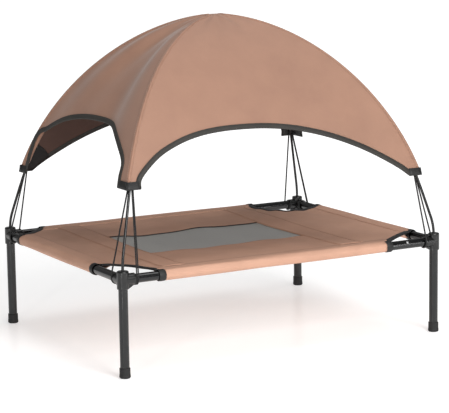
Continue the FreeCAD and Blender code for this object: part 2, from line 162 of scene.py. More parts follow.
# %% [markdown]
# ### Powder-coated steel, moulded plastic and rubber
# Powder coat is a thick glossy skin with a faint orange peel, about 2 mm across. The corner
# connectors are moulded nylon: less glossy, with a fine grain. Foot caps are matt rubber.

# %% Black hard finishes
def black_finish(name, colour, roughness, coat, grain, height):
    material, tree, shader = finish_called(name)
    place = add(tree, "ShaderNodeTexCoord").outputs["Object"]
    noise = add(tree, "ShaderNodeTexNoise", Vector=place, Scale=1 / grain, Detail=2.0)
    bump = add(tree, "ShaderNodeBump", Height=noise.outputs["Fac"], Distance=height, Strength=0.5)
    broad = add(tree, "ShaderNodeTexNoise", Vector=place, Scale=22.0, Detail=3.0)
    worn = add(tree, "ShaderNodeMapRange", Value=broad.outputs["Fac"], To_Min=roughness * 0.8, To_Max=roughness * 1.25)
    tree.links.new(worn.outputs["Result"], shader.inputs["Roughness"])
    tree.links.new(bump.outputs["Normal"], shader.inputs["Normal"])
    shader.inputs["Base Color"].default_value = linear(colour)
    shader.inputs["Coat Weight"].default_value = coat
    shader.inputs["Coat Roughness"].default_value = 0.08
    return material


powder_coat = black_finish("glossy_powder_coat", "#020203", 0.17, 0.0, 2.2 * MM, 0.03 * MM)
moulded_nylon = black_finish("moulded_nylon", "#040404", 0.26, 0.0, 0.9 * MM, 0.05 * MM)
foot_rubber = black_finish("matt_epdm_rubber", "#0B0B0C", 0.6, 0.0, 1.2 * MM, 0.08 * MM)
glass_fibre = black_finish("pultruded_glass_fibre", "#050607", 0.28, 0.0, 1.5 * MM, 0.02 * MM)
print("hard finishes", powder_coat.name, moulded_nylon.name, foot_rubber.name, glass_fibre.name)

# %% Bare metal
def metal_finish(name, colour, roughness):
    material, tree, shader = finish_called(name)
    place = add(tree, "ShaderNodeTexCoord").outputs["Object"]
    noise = add(tree, "ShaderNodeTexNoise", Vector=place, Scale=700.0, Detail=2.0)
    tone = add(tree, "ShaderNodeMapRange", Value=noise.outputs["Fac"], To_Min=roughness * 0.7, To_Max=roughness * 1.4)
    tree.links.new(tone.outputs["Result"], shader.inputs["Roughness"])
    shader.inputs["Base Color"].default_value = linear(colour)
    shader.inputs["Metallic"].default_value = 1.0
    return material


zinc_plate = metal_finish("zinc_plated_steel", "#C9CACB", 0.28)
drawn_steel = metal_finish("drawn_steel_tube", "#A9AAAC", 0.36)
print("metals", zinc_plate.name, drawn_steel.name)

# %% [markdown]
# ### Oxford cloth
# Coated oxford polyester is a plain weave. Its threads are about 0.5 mm, too fine to show from
# this far, so the weave is drawn 2.4 mm coarse and faint. The cloth's own UV map is in metres, so
# the threads follow each panel. Slow blotches of tone stand for dye, and for light creasing as
# painted shade.

# %% Woven finishes
def woven_finish(name, colour, shade, period, roughness, depth, sheen=0.0, blotch=0.5):
    material, tree, shader = finish_called(name)
    place = add(tree, "ShaderNodeTexCoord")
    flat = place.outputs["UV"]
    warp = add(tree, "ShaderNodeTexWave", {"bands_direction": "X"}, Vector=flat, Scale=wave_scale(period))
    weft = add(tree, "ShaderNodeTexWave", {"bands_direction": "Y"}, Vector=flat, Scale=wave_scale(period))
    weave = add(tree, "ShaderNodeMath", {"operation": "MULTIPLY"}, i0=warp.outputs["Fac"], i1=weft.outputs["Fac"])
    cloud = add(tree, "ShaderNodeTexNoise", Vector=place.outputs["Object"], Scale=9.0, Detail=5.0, Roughness=0.62)
    # blotches of dye tone and painted crease shade
    dye_and_crease_shade = add(tree, "ShaderNodeMapRange", Value=cloud.outputs["Fac"], From_Min=0.3, From_Max=0.7, To_Min=0.0, To_Max=blotch)
    mixed = add(tree, "ShaderNodeMath", {"operation": "MULTIPLY_ADD"}, i0=weave.outputs["Value"], i1=0.28, i2=dye_and_crease_shade.outputs["Result"])
    ramp = add(tree, "ShaderNodeMix", {"data_type": "RGBA"}, i0=mixed.outputs["Value"])
    ramp.inputs[6].default_value, ramp.inputs[7].default_value = linear(colour), linear(shade)
    bump = add(tree, "ShaderNodeBump", Height=weave.outputs["Value"], Distance=depth, Strength=0.45)
    tree.links.new(ramp.outputs[2], shader.inputs["Base Color"])
    tree.links.new(bump.outputs["Normal"], shader.inputs["Normal"])
    shader.inputs["Roughness"].default_value = roughness
    shader.inputs["Sheen Weight"].default_value = sheen
    shader.inputs["Sheen Roughness"].default_value = 0.4
    return material


canopy_oxford = woven_finish("coated_oxford_polyester_canopy", "#926D59", "#7D5B4A", 2.4 * MM, 0.62, 0.12 * MM, sheen=0.2)
# The canopy's inside is its coated back, made darker still with painted shade for the shade under the canopy.
canopy_inside_coating_and_painted_shade = woven_finish("coated_back_with_painted_shade", "#4C352D", "#3B2923", 2.4 * MM, 0.55, 0.06 * MM)
# The deck is the same oxford as the canopy, painted lighter as painted light for the light falling on it.
deck_oxford_painted_light = woven_finish("coated_oxford_deck_painted_lighter", "#BE937C", "#A07863", 2.4 * MM, 0.68, 0.14 * MM)
edge_tape = woven_finish("polyester_edge_tape", "#2B2823", "#161412", 2.0 * MM, 0.7, 0.15 * MM)
corner_web = woven_finish("polypropylene_webbing", "#0E0D0D", "#050505", 1.8 * MM, 0.6, 0.2 * MM)
elastic_braid = woven_finish("braided_elastic", "#0D0C0C", "#050505", 1.4 * MM, 0.7, 0.2 * MM)
thread = woven_finish("polyester_thread", "#9A7159", "#85604A", 1.0 * MM, 0.6, 0.05 * MM)
print("woven finishes", canopy_oxford.name, deck_oxford_painted_light.name, edge_tape.name)

# %% [markdown]
# ### Open mesh
# The window in the deck is a vinyl-coated net. Its cells are about 1.5 mm and are drawn at 4 mm,
# light threads round darker holes. The holes' grey is painted shade: the floor in shade, seen
# through them.

# %% Mesh finish
def net_finish(period):
    material, tree, shader = finish_called("vinyl_coated_polyester_net")
    flat = add(tree, "ShaderNodeTexCoord").outputs["UV"]
    across = add(tree, "ShaderNodeTexWave", {"bands_direction": "X"}, Vector=flat, Scale=wave_scale(period))
    along = add(tree, "ShaderNodeTexWave", {"bands_direction": "Y"}, Vector=flat, Scale=wave_scale(period))
    threads = add(tree, "ShaderNodeMath", {"operation": "MAXIMUM"}, i0=across.outputs["Fac"], i1=along.outputs["Fac"])
    tone = add(tree, "ShaderNodeMix", {"data_type": "RGBA"}, i0=threads.outputs["Value"])
    # the darker tone is the holes, painted shade for the shaded floor seen through them
    tone.inputs[6].default_value, tone.inputs[7].default_value = linear("#63625F"), linear("#B1AFAB")
    bump = add(tree, "ShaderNodeBump", Height=threads.outputs["Value"], Distance=0.4 * MM, Strength=0.6)
    tree.links.new(tone.outputs[2], shader.inputs["Base Color"])
    tree.links.new(bump.outputs["Normal"], shader.inputs["Normal"])
    shader.inputs["Roughness"].default_value = 0.5
    return material


vinyl_net = net_finish(4 * MM)
print("net", vinyl_net.name)

# %% Dress the hard parts
def dress(material, *starts):
    count = 0
    for name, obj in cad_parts.items():
        if name.startswith(starts):
            obj.data.materials.clear()
            obj.data.materials.append(material)
            count += 1
    return count


print("coated tubes", dress(powder_coat, "leg_", "rail_front", "rail_back", "rail_left", "rail_right"))
print("connectors", dress(moulded_nylon, "corner_connector_"))
print("feet", dress(foot_rubber, "foot_cap_"))
print("poles", dress(glass_fibre, "pole_lower_", "pole_crown_"))
print("buttons", dress(zinc_plate, "snap_button_"))
print("stubs and ferrules", dress(drawn_steel, "rail_stubs", "pole_ferrules"))

# %% [markdown]
# ## Making pieces
# A piece is a mesh at the origin, so its place is in its points. A grid of points makes most of
# the cloth. A tube is a ring carried along a path without twisting, for cords and channels.

# %% Piece helpers
def piece(name, points, faces, material, uvs=None, merge=0.0, turn_out=True):
    mesh = bpy.data.meshes.new(name)
    mesh.from_pydata([tuple(p) for p in points], [], faces)
    if uvs:
        layer = mesh.uv_layers.new(name="UVMap")
        for loop in mesh.loops:
            layer.data[loop.index].uv = uvs[loop.vertex_index]
    if merge:
        work = bmesh.new()
        work.from_mesh(mesh)
        bmesh.ops.remove_doubles(work, verts=work.verts, dist=merge)
        if turn_out:
            bmesh.ops.recalc_face_normals(work, faces=work.faces)
        work.to_mesh(mesh)
        work.free()
    mesh.materials.append(material)
    mesh.polygons.foreach_set("use_smooth", [True] * len(mesh.polygons))
    obj = bpy.data.objects.new(name, mesh)
    bpy.context.collection.objects.link(obj)
    return obj


def thicken(obj, thickness, offset=-1.0, levels=0):
    wall = obj.modifiers.new("wall", "SOLIDIFY")
    wall.thickness, wall.offset = thickness, offset
    if levels:
        smooth = obj.modifiers.new("smooth", "SUBSURF")
        smooth.levels = smooth.render_levels = levels


def swept(paths, ring, closed_ends=True):
    """Points, faces and uvs of rings carried along paths; each path comes with its ring of (across, up) points, and
    ring is the uv length once round.
    """
    points, faces, uvs = [], [], []
    for path, profile in paths:
        base, count, run = len(points), len(profile), 0.0
        side = None
        for i, here in enumerate(path):
            ahead = (path[min(i + 1, len(path) - 1)] - path[max(i - 1, 0)]).normalized()
            side = (Vector((1, 0, 0)) if abs(ahead.x) < 0.9 else Vector((0, 1, 0))) if side is None else side
            side = (side - ahead * side.dot(ahead)).normalized()
            up = ahead.cross(side)
            run += (here - path[i - 1]).length if i else 0.0
            for k, (a, b) in enumerate(profile):
                points.append(here + side * a + up * b)
                uvs.append((run, k / count * ring))
        for i in range(len(path) - 1):
            for k in range(count):
                a, b = base + i * count + k, base + i * count + (k + 1) % count
                faces.append((a, b, b + count, a + count))
        if closed_ends:
            faces.append(tuple(range(base + count - 1, base - 1, -1)))
            faces.append(tuple(range(len(points) - count, len(points))))
    return points, faces, uvs


def circle(radius, count=10, flat=1.0):
    return [(radius * math.cos(2 * math.pi * k / count), flat * radius * math.sin(2 * math.pi * k / count)) for k in range(count)]


def eased(low, high, value):
    t = min(1.0, max(0.0, (value - low) / (high - low)))
    return t * t * (3 - 2 * t)


def spline(points, steps):
    """A smooth path through the points."""
    out = []
    for i in range(len(points) - 1):
        p0, p1, p2, p3 = points[max(i - 1, 0)], points[i], points[i + 1], points[min(i + 2, len(points) - 1)]
        for k in range(steps):
            t = k / steps
            out.append(0.5 * (2 * p1 + (p2 - p0) * t + (2 * p0 - 5 * p1 + 4 * p2 - p3) * t * t + (3 * p1 - p0 - 3 * p2 + p3) * t ** 3))
    return out + [points[-1]]

# %% [markdown]
# ## The canopy's surface
# The cloth is one curved sheet. Between two ridges each level runs nearly straight, because the
# cloth is pulled tight, and its middle draws in a little. Folds are added along the surface's
# normal: tucks that fan out from the crown, and long soft folds on the short sides.

# %% Canopy surface
def share_of(z):
    rise = min(1.0, max(0.0, (z - DOME_BASE) / CLOTH_RISE))
    return (1 - rise ** CURVE_N) ** (1 / CURVE_N)


def bowed(share, reach):
    bow = SIDE_BOW * math.sin(math.pi * share)
    return OUT_X * reach * share + OUT_Y * bow, OUT_Y * reach * share - OUT_X * bow


def folds(side, t, share):
    """How far the cloth stands in or out, in metres; nothing on the ridges themselves."""
    hold = (4 * t * (1 - t)) ** 0.8
    tucks = 1.5 * MM * math.sin(23 * t + 1.3) * math.exp(-((share - 0.17) / 0.13) ** 2)
    if side in ("left", "right"):
        soft = 7 * MM * math.sin(9.5 * t + 1.6 * share - 0.4) + 2.4 * MM * math.sin(19 * t - 4 * share + 1.1)
    else:
        soft = 1.8 * MM * math.sin(4.2 * t + 3.0 * share) + 1.2 * MM * math.sin(26 * t) * eased(0.6, 0.95, t) * eased(0.4, 0.8, share)
    return hold * (tucks + soft * eased(0.05, 0.4, share)) * eased(0.0, 0.08, share)


def gore(side, t, z, drawn=True):
    high, low, _ = SIDES[side]
    share = share_of(z)
    x, y = bowed(share, CLOTH_REACH)
    a = Vector((SIGNS[high][0] * x, SIGNS[high][1] * y, z))
    b = Vector((SIGNS[low][0] * x, SIGNS[low][1] * y, z))
    spot = a.lerp(b, t)
    if drawn:
        way = (OUTWARD[side] * share + UP * (1 - share)).normalized()
        sag = 9 * MM * 4 * t * (1 - t) * math.sin(math.pi * min(1, share * 0.9))
        spot = spot + way * (folds(side, t, share) - sag)
    return spot


def sides_of(corner):
    return [side for side, (high, low, _) in SIDES.items() if corner in (high, low)]


def level_at(angle):
    return DOME_BASE + CLOTH_RISE * math.sin(angle) ** (2 / CURVE_N)


def angle_at(z):
    return math.asin(min(1.0, ((z - DOME_BASE) / CLOTH_RISE) ** (CURVE_N / 2)))


print("crown at", round(gore("front", 0.5, DOME_BASE + CLOTH_RISE).z, 4))

# %% [markdown]
# ### The arched edge
# Each side is cut to a wide arch between two tongues that reach down to the tips. The arch is a
# rule: its top, and how fast it falls to either side.

# %% Arched edges
ARCH = {
    0: {"top": 494 * MM, "at": -0.15, "near": (205 * MM, 2.6), "far": (125 * MM, 2.15), "tongues": (33 * MM, 32 * MM)},
    1: {"top": 509 * MM, "at": -0.05, "near": (172 * MM, 2.2), "far": (95 * MM, 2.35), "tongues": (45 * MM, 34 * MM)},
}
ARCH_STEPS = [-0.70, -0.56, -0.42, -0.28, -0.14, 0.0, 0.14, 0.28, 0.42, 0.56, 0.68, 0.80]


def edge_line(side):
    """(t, z) along the lower edge of a side, from ridge to ridge."""
    high, low, axis = SIDES[side]
    arch, half = ARCH[axis], (HALF_X, HALF_Y)[axis]
    ridge = lambda z: bowed(share_of(z), CLOTH_REACH)[axis]
    first, last = arch["tongues"]
    knots = [Vector((first - ridge(z), z)) for z in (TIP[high], TIP[high] + 22 * MM)]
    for step in ARCH_STEPS:
        fall, power = arch["near"] if step < arch["at"] else arch["far"]
        knots.append(Vector((step * half, arch["top"] - fall * abs(step - arch["at"]) ** power)))
    knots.append(Vector((ridge(TIP[low]) - last, TIP[low])))
    line = [Vector((-ridge(TIP[high]) + first * k / 4, TIP[high])) for k in range(4)]
    line += spline(knots, 5)
    line += [Vector((ridge(TIP[low]) - last * k / 4, TIP[low])) for k in (3, 2, 1, 0)]
    return [(min(1.0, max(0.0, (u + ridge(z)) / (2 * ridge(z)))), z) for u, z in line]


edges = {side: edge_line(side) for side in SIDES}
print("points on each edge", {side: len(line) for side, line in edges.items()})

# %% [markdown]
# ### One sheet with four tongues
# Above its tongues a side is a plain grid: columns climb from the arch to the crown. A tongue can
# be narrower at its neck than at its foot, so there the columns keep their share of the width
# between ridge and edge. Both sides of a ridge use the same levels, so their points weld.

# %% Canopy cloth
ROWS, TONGUE_ROWS, TONGUE_COLUMNS = 30, 10, 5
# the arch runs between these points of an edge line; the rest is the feet of the tongues
FOOT = 4


def neck(side, corner):
    """The level at which a side's tongue is narrowest."""
    line = edges[side]
    if corner == SIDES[side][0]:
        return min(line[FOOT:FOOT + 14])[1]
    return max(line[-FOOT - 14:-FOOT])[1]


NECK = {c: max(TIP[c] + 24 * MM, *(neck(side, c) for side in SIDES if c in SIDES[side][:2])) for c in SIGNS}


def cut_edge(line, level):
    """The lower stretch of an edge up to a level, and the rest of it, for a line that starts low."""
    for i in range(FOOT, len(line) - 1):
        (t0, z0), (t1, z1) = line[i], line[i + 1]
        if z0 <= level < z1:
            share = (level - z0) / (z1 - z0)
            return line[FOOT:i + 1] + [(t0 + (t1 - t0) * share, level)], line[i + 1:]
    raise ValueError("the edge never reaches %.3f" % level)


def edge_at(stretch, z):
    for (t0, z0), (t1, z1) in zip(stretch, stretch[1:]):
        if z <= z1:
            return t0 + (t1 - t0) * max(0.0, (z - z0) / (z1 - z0))
    return stretch[-1][0]


def canopy_columns(side):
    """Columns of (t, z) points, each from the lower edge to the crown."""
    high, low, _ = SIDES[side]
    high_edge, rest = cut_edge(edges[side], NECK[high])
    mirrored = [(1 - t, z) for t, z in reversed(edges[side])]
    low_edge, _ = cut_edge(mirrored, NECK[low])
    arch = rest[:len(rest) - (len(low_edge) - 1) - FOOT]

    def climb(t, z):
        low_angle = angle_at(z)
        return [(t, level_at(low_angle + (math.pi / 2 - low_angle) * row / ROWS)) for row in range(ROWS + 1)]

    def tongue(stretch, corner, share):
        foot = [TIP[corner] + (NECK[corner] - TIP[corner]) * k / TONGUE_ROWS for k in range(TONGUE_ROWS)]
        return [(share * edge_at(stretch, z), z) for z in foot] + climb(share * stretch[-1][0], NECK[corner])

    shares = [k / TONGUE_COLUMNS for k in range(TONGUE_COLUMNS + 1)]
    first = [tongue(high_edge, high, share) for share in shares]
    last = [[(1 - t, z) for t, z in tongue(low_edge, low, share)] for share in reversed(shares)]
    return first + [climb(t, z) for t, z in arch] + last


def canopy_mesh():
    points, faces, uvs = [], [], []
    for side in SIDES:
        starts, columns = [], canopy_columns(side)
        for column in columns:
            starts.append(len(points))
            run, last = 0.0, None
            for t, z in column:
                spot = gore(side, t, z)
                run += (spot - last).length if last else 0.0
                last = spot
                points.append(spot)
                uvs.append(((t - 0.5) * 0.7, run + column[0][1]))
        for i in range(len(columns) - 1):
            shared = min(len(columns[i]), len(columns[i + 1]))
            a = starts[i] + len(columns[i]) - shared
            b = starts[i + 1] + len(columns[i + 1]) - shared
            for row in range(shared - 1):
                face = (a + row, b + row, b + row + 1, a + row + 1)
                faces.append(face if side in ("front", "back") else face[::-1])
    return points, faces, uvs


points, faces, uvs = canopy_mesh()
canopy_cloth = piece("canopy_cloth", points, faces, canopy_oxford, uvs, merge=0.005 * MM, turn_out=False)
# The inside takes the second finish: the coated back, darkened with painted shade.
canopy_cloth.data.materials.append(canopy_inside_coating_and_painted_shade)
thicken(canopy_cloth, 1.0 * MM, levels=1)
canopy_cloth.modifiers["wall"].material_offset = 1
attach(canopy_cloth, "canopy")
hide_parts(*("canopy_panel_" + side for side in SIDES))

# %% [markdown]
# ### Patches inside the tips
# The elastics pull on the tips, so each one is lined with a black patch, 78 mm deep. It
# takes the faces of the canopy that lie near the tip and moves them inward, under the cloth.

# %% Tip patches
PATCH_R = 78 * MM
skin = canopy_cloth.data
for corner in SIGNS:
    foot = gore(sides_of(corner)[0], 0.0 if corner == SIDES[sides_of(corner)[0]][0] else 1.0, TIP[corner])
    near = [face for face in skin.polygons if min((skin.vertices[v].co - foot).length for v in face.vertices) < PATCH_R]
    used = sorted({v for face in near for v in face.vertices})
    at = {v: n for n, v in enumerate(used)}
    points = []
    for v in used:
        away = skin.vertices[v].co - foot
        away *= min(1.0, PATCH_R / max(away.length, 1 * MM))
        points.append(foot + away - skin.vertices[v].normal * (1.6 * MM))
    uvs = [((p - foot).dot(OUTWARD["right"] - OUTWARD["back"]), p.z) for p in points]
    patch = piece("tip_patch_" + corner, points, [tuple(at[v] for v in face.vertices) for face in near], corner_web, uvs)
    thicken(patch, 0.6 * MM)
    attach(patch, "canopy")

# %% [markdown]
# ## Edge tape and tips
# Black tape is folded over the raw edge and sewn. Its section is a flat loop round the edge, 11 mm
# high on the arches and 16 mm on the tips. It is carried along the edge with its height pointing
# up the cloth, so the tape turns the corners of the tongues as real tape does.

# %% Edge tape
def surface_normal(side, t, z):
    here = gore(side, t, z)
    along = gore(side, min(1, t + 0.004), z) - gore(side, max(0, t - 0.004), z)
    up = gore(side, t, min(z + 2 * MM, DOME_BASE + CLOTH_RISE)) - here
    normal = along.cross(up).normalized()
    return normal if normal.dot(OUTWARD[side] + UP * 0.4) > 0 else -normal


TAPE_SECTION = [(1.0, 1.5), (0.1, 1.7), (-0.08, 0.9), (-0.08, -0.9), (0.1, -1.7), (1.0, -1.5)]


def tape_mesh(side, tips):
    """The tape along one side; tips picks the tongue bottoms or the arch."""
    line = edges[side]
    high, low, _ = SIDES[side]
    points, faces, uvs, run = [], [], [], 0.0
    spots = [gore(side, t, z) for t, z in line]
    keep = []
    for i, (t, z) in enumerate(line):
        if tips in ("high", "low"):
            use = i <= 4 if tips == "high" else i >= len(line) - 5
        else:
            use = 4 <= i <= len(line) - 5
        if use:
            keep.append(i)
    width = 11 * MM if tips == "arch" else 16 * MM
    # edges run one way round on the long sides and the other way on the short ones
    hand = 1 if side in ("front", "back") else -1
    for n, i in enumerate(keep):
        t, z = line[i]
        normal = surface_normal(side, t, z)
        along = (spots[min(i + 1, len(line) - 1)] - spots[max(i - 1, 0)]).normalized()
        if tips != "arch":
            along = (spots[keep[-1]] - spots[keep[0]]).normalized()
        into = normal.cross(along).normalized() * hand
        run += (spots[i] - spots[keep[n - 1]]).length if n else 0.0
        for k, (h, out) in enumerate(TAPE_SECTION):
            points.append(spots[i] + into * (h * width) + normal * (out * MM))
            uvs.append((run, k * 3 * MM))
    count = len(TAPE_SECTION)
    for n in range(len(keep) - 1):
        for k in range(count):
            a, b = n * count + k, n * count + (k + 1) % count
            faces.append((a, b, b + count, a + count))
    faces.append(tuple(range(count - 1, -1, -1)))
    faces.append(tuple(range((len(keep) - 1) * count, len(keep) * count)))
    return points, faces, uvs


for side in SIDES:
    high, low, _ = SIDES[side]
    for part, nodes in (("arch", ["canopy_hem_" + side]), ("high", ["canopy_tip_" + high]), ("low", ["canopy_tip_" + low])):
        points, faces, uvs = tape_mesh(side, part)
        tape = piece("canopy_tape_%s_%s" % (side, part), points, faces, edge_tape if part == "arch" else corner_web, uvs, merge=0.01 * MM)
        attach(tape, "canopy")
        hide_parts(*nodes)

# %% [markdown]
# ## Ridge seams and pole channels
# Two gores meet in a flat seam over each pole, and a channel is sewn under it for the pole to run
# in. The seam is a strip that lies 7 mm down each side of the ridge and stands 0.8 mm proud.

# %% Ridge seams
def beside_ridge(corner, side, z, distance):
    """A point on a side's cloth, that far from the ridge at a corner."""
    high, low, axis = SIDES[side]
    span = 2 * bowed(share_of(z), CLOTH_REACH)[axis]
    t = min(0.5, distance / max(span, 1 * MM))
    return gore(side, t if corner == high else 1 - t, z)


def ridge_levels(corner, count=46):
    low = angle_at(TIP[corner] + 14 * MM)
    return [level_at(low + (math.radians(86.5) - low) * k / count) for k in range(count + 1)]


ridge_seams = []
for corner in SIGNS:
    one, two = sides_of(corner)
    points, faces, uvs, run, last = [], [], [], 0.0, None
    out = Vector((SIGNS[corner][0] * OUT_X, SIGNS[corner][1] * OUT_Y, 0))
    for z in ridge_levels(corner):
        share = share_of(z)
        lift = (out * share + UP * (1 - share)).normalized() * (0.8 * MM)
        row = [beside_ridge(corner, one, z, d * MM) for d in (7, 3.5)] + [beside_ridge(corner, one, z, 0)]
        row += [beside_ridge(corner, two, z, d * MM) for d in (3.5, 7)]
        run += (row[2] - last).length if last else 0.0
        last = row[2]
        points += [p + lift for p in row]
        uvs += [(d * MM, run) for d in (-7, -3.5, 0, 3.5, 7)]
    for i in range(len(points) // 5 - 1):
        for k in range(4):
            a = i * 5 + k
            faces.append((a, a + 1, a + 6, a + 5))
    seam = piece("ridge_seam_" + corner, points, faces, canopy_oxford, uvs, merge=0.001 * MM)
    if seam.data.polygons[len(seam.data.polygons) // 4].normal.dot(out + UP) < 0:
        seam.data.flip_normals()
    thicken(seam, 0.9 * MM)
    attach(seam, "canopy")
    ridge_seams.append(seam)
print("ridge seams", len(ridge_seams))

# %% Pole channels
STEP = math.radians(7.5)


def pole_point(corner, angle):
    sx, sy = SIGNS[corner]
    power = 2 / CURVE_N
    share, rise = math.cos(angle) ** power, math.sin(angle) ** power
    x, y = bowed(share, POLE_REACH)
    drop = 0.0 if sx == sy else CROSSING_DROP * (1 - share) ** 2
    return Vector((sx * x, sy * y, DOME_BASE + POLE_RISE * rise - drop))


for corner in SIGNS:
    start = TIP[corner] + 22 * MM
    low = math.asin(((start - DOME_BASE) / POLE_RISE) ** (CURVE_N / 2))
    path = [pole_point(corner, low + (STEP * 11 - low) * k / 40) for k in range(41)]
    points, faces, uvs = swept([(path, circle(4.7 * MM, 12))], 30 * MM)
    channel = piece("pole_channel_cloth_" + corner, points, faces, canopy_oxford, uvs, merge=0.001 * MM)
    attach(channel, "canopy")
    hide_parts("pole_channel_" + corner)
print("pole channels", len(SIGNS))

# %% [markdown]
# ## The bed cover
# The deck leaves the rails near their tops, is pulled tight, and dips a few millimetres at its mesh
# window. It shows shallow waves, and drag lines from the corners, where it is pulled hardest.

# %% Deck surface
SEAM_IN = 32 * MM
DECK_RISE = 9.5 * MM
WINDOW_X, WINDOW_Y = (-229 * MM, 161 * MM), (-104 * MM, 104 * MM)
INNER_X, INNER_Y = HALF_X - SEAM_IN, HALF_Y - SEAM_IN
BAND = 16 * MM


def corner_circle(corner):
    """Centre and radius of the round cut-out at a corner."""
    sx, sy = SIGNS[corner]
    end_x, end_y = COVER_END[corner]
    reach = CUT_REACH[corner]
    a = Vector((sx * (HALF_X - end_x), sy * HALF_Y))
    b = Vector((sx * HALF_X, sy * (HALF_Y - end_y)))
    c = Vector((sx * (HALF_X - reach * OUT_X), sy * (HALF_Y - reach * OUT_Y)))
    d = 2 * (a.x * (b.y - c.y) + b.x * (c.y - a.y) + c.x * (a.y - b.y))
    aa, bb, cc = a.length_squared, b.length_squared, c.length_squared
    x = (aa * (b.y - c.y) + bb * (c.y - a.y) + cc * (a.y - b.y)) / d
    y = (aa * (c.x - b.x) + bb * (a.x - c.x) + cc * (b.x - a.x)) / d
    centre = Vector((x, y))
    return centre, (a - centre).length


CIRCLES = {corner: corner_circle(corner) for corner in SIGNS}


def deck_z(x, y):
    dip = max(0, 1 - (x / INNER_X) ** 2) * max(0, 1 - (y / INNER_Y) ** 2)
    drag = 0.0
    for corner, (centre, radius) in CIRCLES.items():
        away = Vector((x, y)) - centre
        angle = math.atan2(away.y, away.x)
        drag += 1.3 * MM * math.sin(13 * angle) * math.exp(-((away.length - radius) / (95 * MM)) ** 2)
    back = eased(-0.05, 0.12, y)
    wave = (0.8 + 1.5 * back) * MM * math.sin(x * 27 + 1.0 + 5 * y) * min(1, dip * 4)
    wave += 0.7 * MM * math.sin(x * 61 + 14 * y) * min(1, dip * 3)
    return RAIL_Z + DECK_RISE - 6 * MM * dip ** 0.8 + drag * min(1, dip * 12) + wave


print("deck dips to", round(deck_z(-37 * MM, 9 * MM), 4))

# %% Deck cloth
def spaced(knots, step):
    out = []
    for low, high in zip(knots, knots[1:]):
        count = max(1, round((high - low) / step))
        out += [low + (high - low) * k / count for k in range(count)]
    return out + [knots[-1]]


def grid_mesh(xs, ys, height, keep):
    points = [Vector((x, y, height(x, y))) for x in xs for y in ys]
    faces = []
    for i in range(len(xs) - 1):
        for j in range(len(ys) - 1):
            if keep((xs[i] + xs[i + 1]) / 2, (ys[j] + ys[j + 1]) / 2):
                a = i * len(ys) + j
                faces.append((a, a + len(ys), a + len(ys) + 1, a + 1))
    return points, faces


def on_deck(x, y):
    inside_window = WINDOW_X[0] < x < WINDOW_X[1] and WINDOW_Y[0] < y < WINDOW_Y[1]
    p = Vector((x, y))
    return not inside_window and all((p - c).length > r + BAND * 0.55 for c, r in CIRCLES.values())


def loose_removed(points, faces):
    used = sorted({v for f in faces for v in f})
    at = {v: n for n, v in enumerate(used)}
    return [points[v] for v in used], [tuple(at[v] for v in f) for f in faces]


xs = spaced([-INNER_X, WINDOW_X[0], WINDOW_X[1], INNER_X], 8 * MM)
ys = spaced([-INNER_Y, WINDOW_Y[0], WINDOW_Y[1], INNER_Y], 8 * MM)
points, faces = loose_removed(*grid_mesh(xs, ys, deck_z, on_deck))
for p in points:
    for centre, radius in CIRCLES.values():
        away = Vector((p.x, p.y)) - centre
        if radius < away.length < radius + BAND * 0.95:
            away = centre + away.normalized() * (radius + BAND * 0.6)
            p.x, p.y = away.x, away.y
# The deck's cloth is painted lighter than the canopy's, as painted light.
deck_cloth = piece("deck_cloth", points, faces, deck_oxford_painted_light, [(p.x, p.y) for p in points])
thicken(deck_cloth, 1.2 * MM, offset=0.0, levels=1)
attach(deck_cloth, "frame")
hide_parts("deck_panel_left", "deck_panel_right", "deck_strip_front", "deck_strip_back")

# %% Mesh window
lap = 6 * MM
xs = spaced([WINDOW_X[0] - lap, WINDOW_X[1] + lap], 8 * MM)
ys = spaced([WINDOW_Y[0] - lap, WINDOW_Y[1] + lap], 8 * MM)
points, faces = grid_mesh(xs, ys, lambda x, y: deck_z(x, y) - 0.9 * MM, lambda x, y: True)
deck_net = piece("deck_net", points, faces, vinyl_net, [(p.x, p.y) for p in points])
thicken(deck_net, 0.6 * MM, offset=0.0, levels=1)
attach(deck_net, "frame")
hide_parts("deck_mesh")
print("net points", len(points))

# %% [markdown]
# ### Double seams beside the window
# The end panels lap over the middle of the cover, so a strip of double cloth stands a little proud
# down each side of the window. A thin black cord is laid along the window's back edge, for the dark line there.

# %% Double seams
for name, low, high in (("left", WINDOW_X[0] - 56 * MM, WINDOW_X[0]), ("right", WINDOW_X[1], WINDOW_X[1] + 62 * MM)):
    xs, ys = spaced([low, high], 7 * MM), spaced([-INNER_Y, INNER_Y], 8 * MM)
    puff = lambda x: 1.1 * MM + 0.9 * MM * math.sin(math.pi * (x - low) / (high - low))
    points, faces = grid_mesh(xs, ys, lambda x, y: deck_z(x, y) + puff(x), lambda x, y: True)
    # The double strips use the deck cloth, painted lighter as painted light.
    strip = piece("deck_double_" + name, points, faces, deck_oxford_painted_light, [(p.x, p.y) for p in points])
    thicken(strip, 0.9 * MM)
    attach(strip, "frame")
    print("double seam", name, round(high - low, 3), "m wide")
line = [Vector((x, WINDOW_Y[1], deck_z(x, WINDOW_Y[1]) + 0.9 * MM)) for x in spaced(list(WINDOW_X), 8 * MM)]
points, faces, uvs = swept([(line, circle(1.1 * MM, 6))], 7 * MM)
window_cord = piece("window_edge_cord", points, faces, corner_web, uvs, merge=0.001 * MM)
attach(window_cord, "frame")

# %% [markdown]
# ## Rail sleeves
# Each edge of the cover wraps its rail and is sewn to itself 32 mm in, like a curtain on a rod.
# Its end is cut to the same circle as the corner, so the sleeve is longer on its outer side.

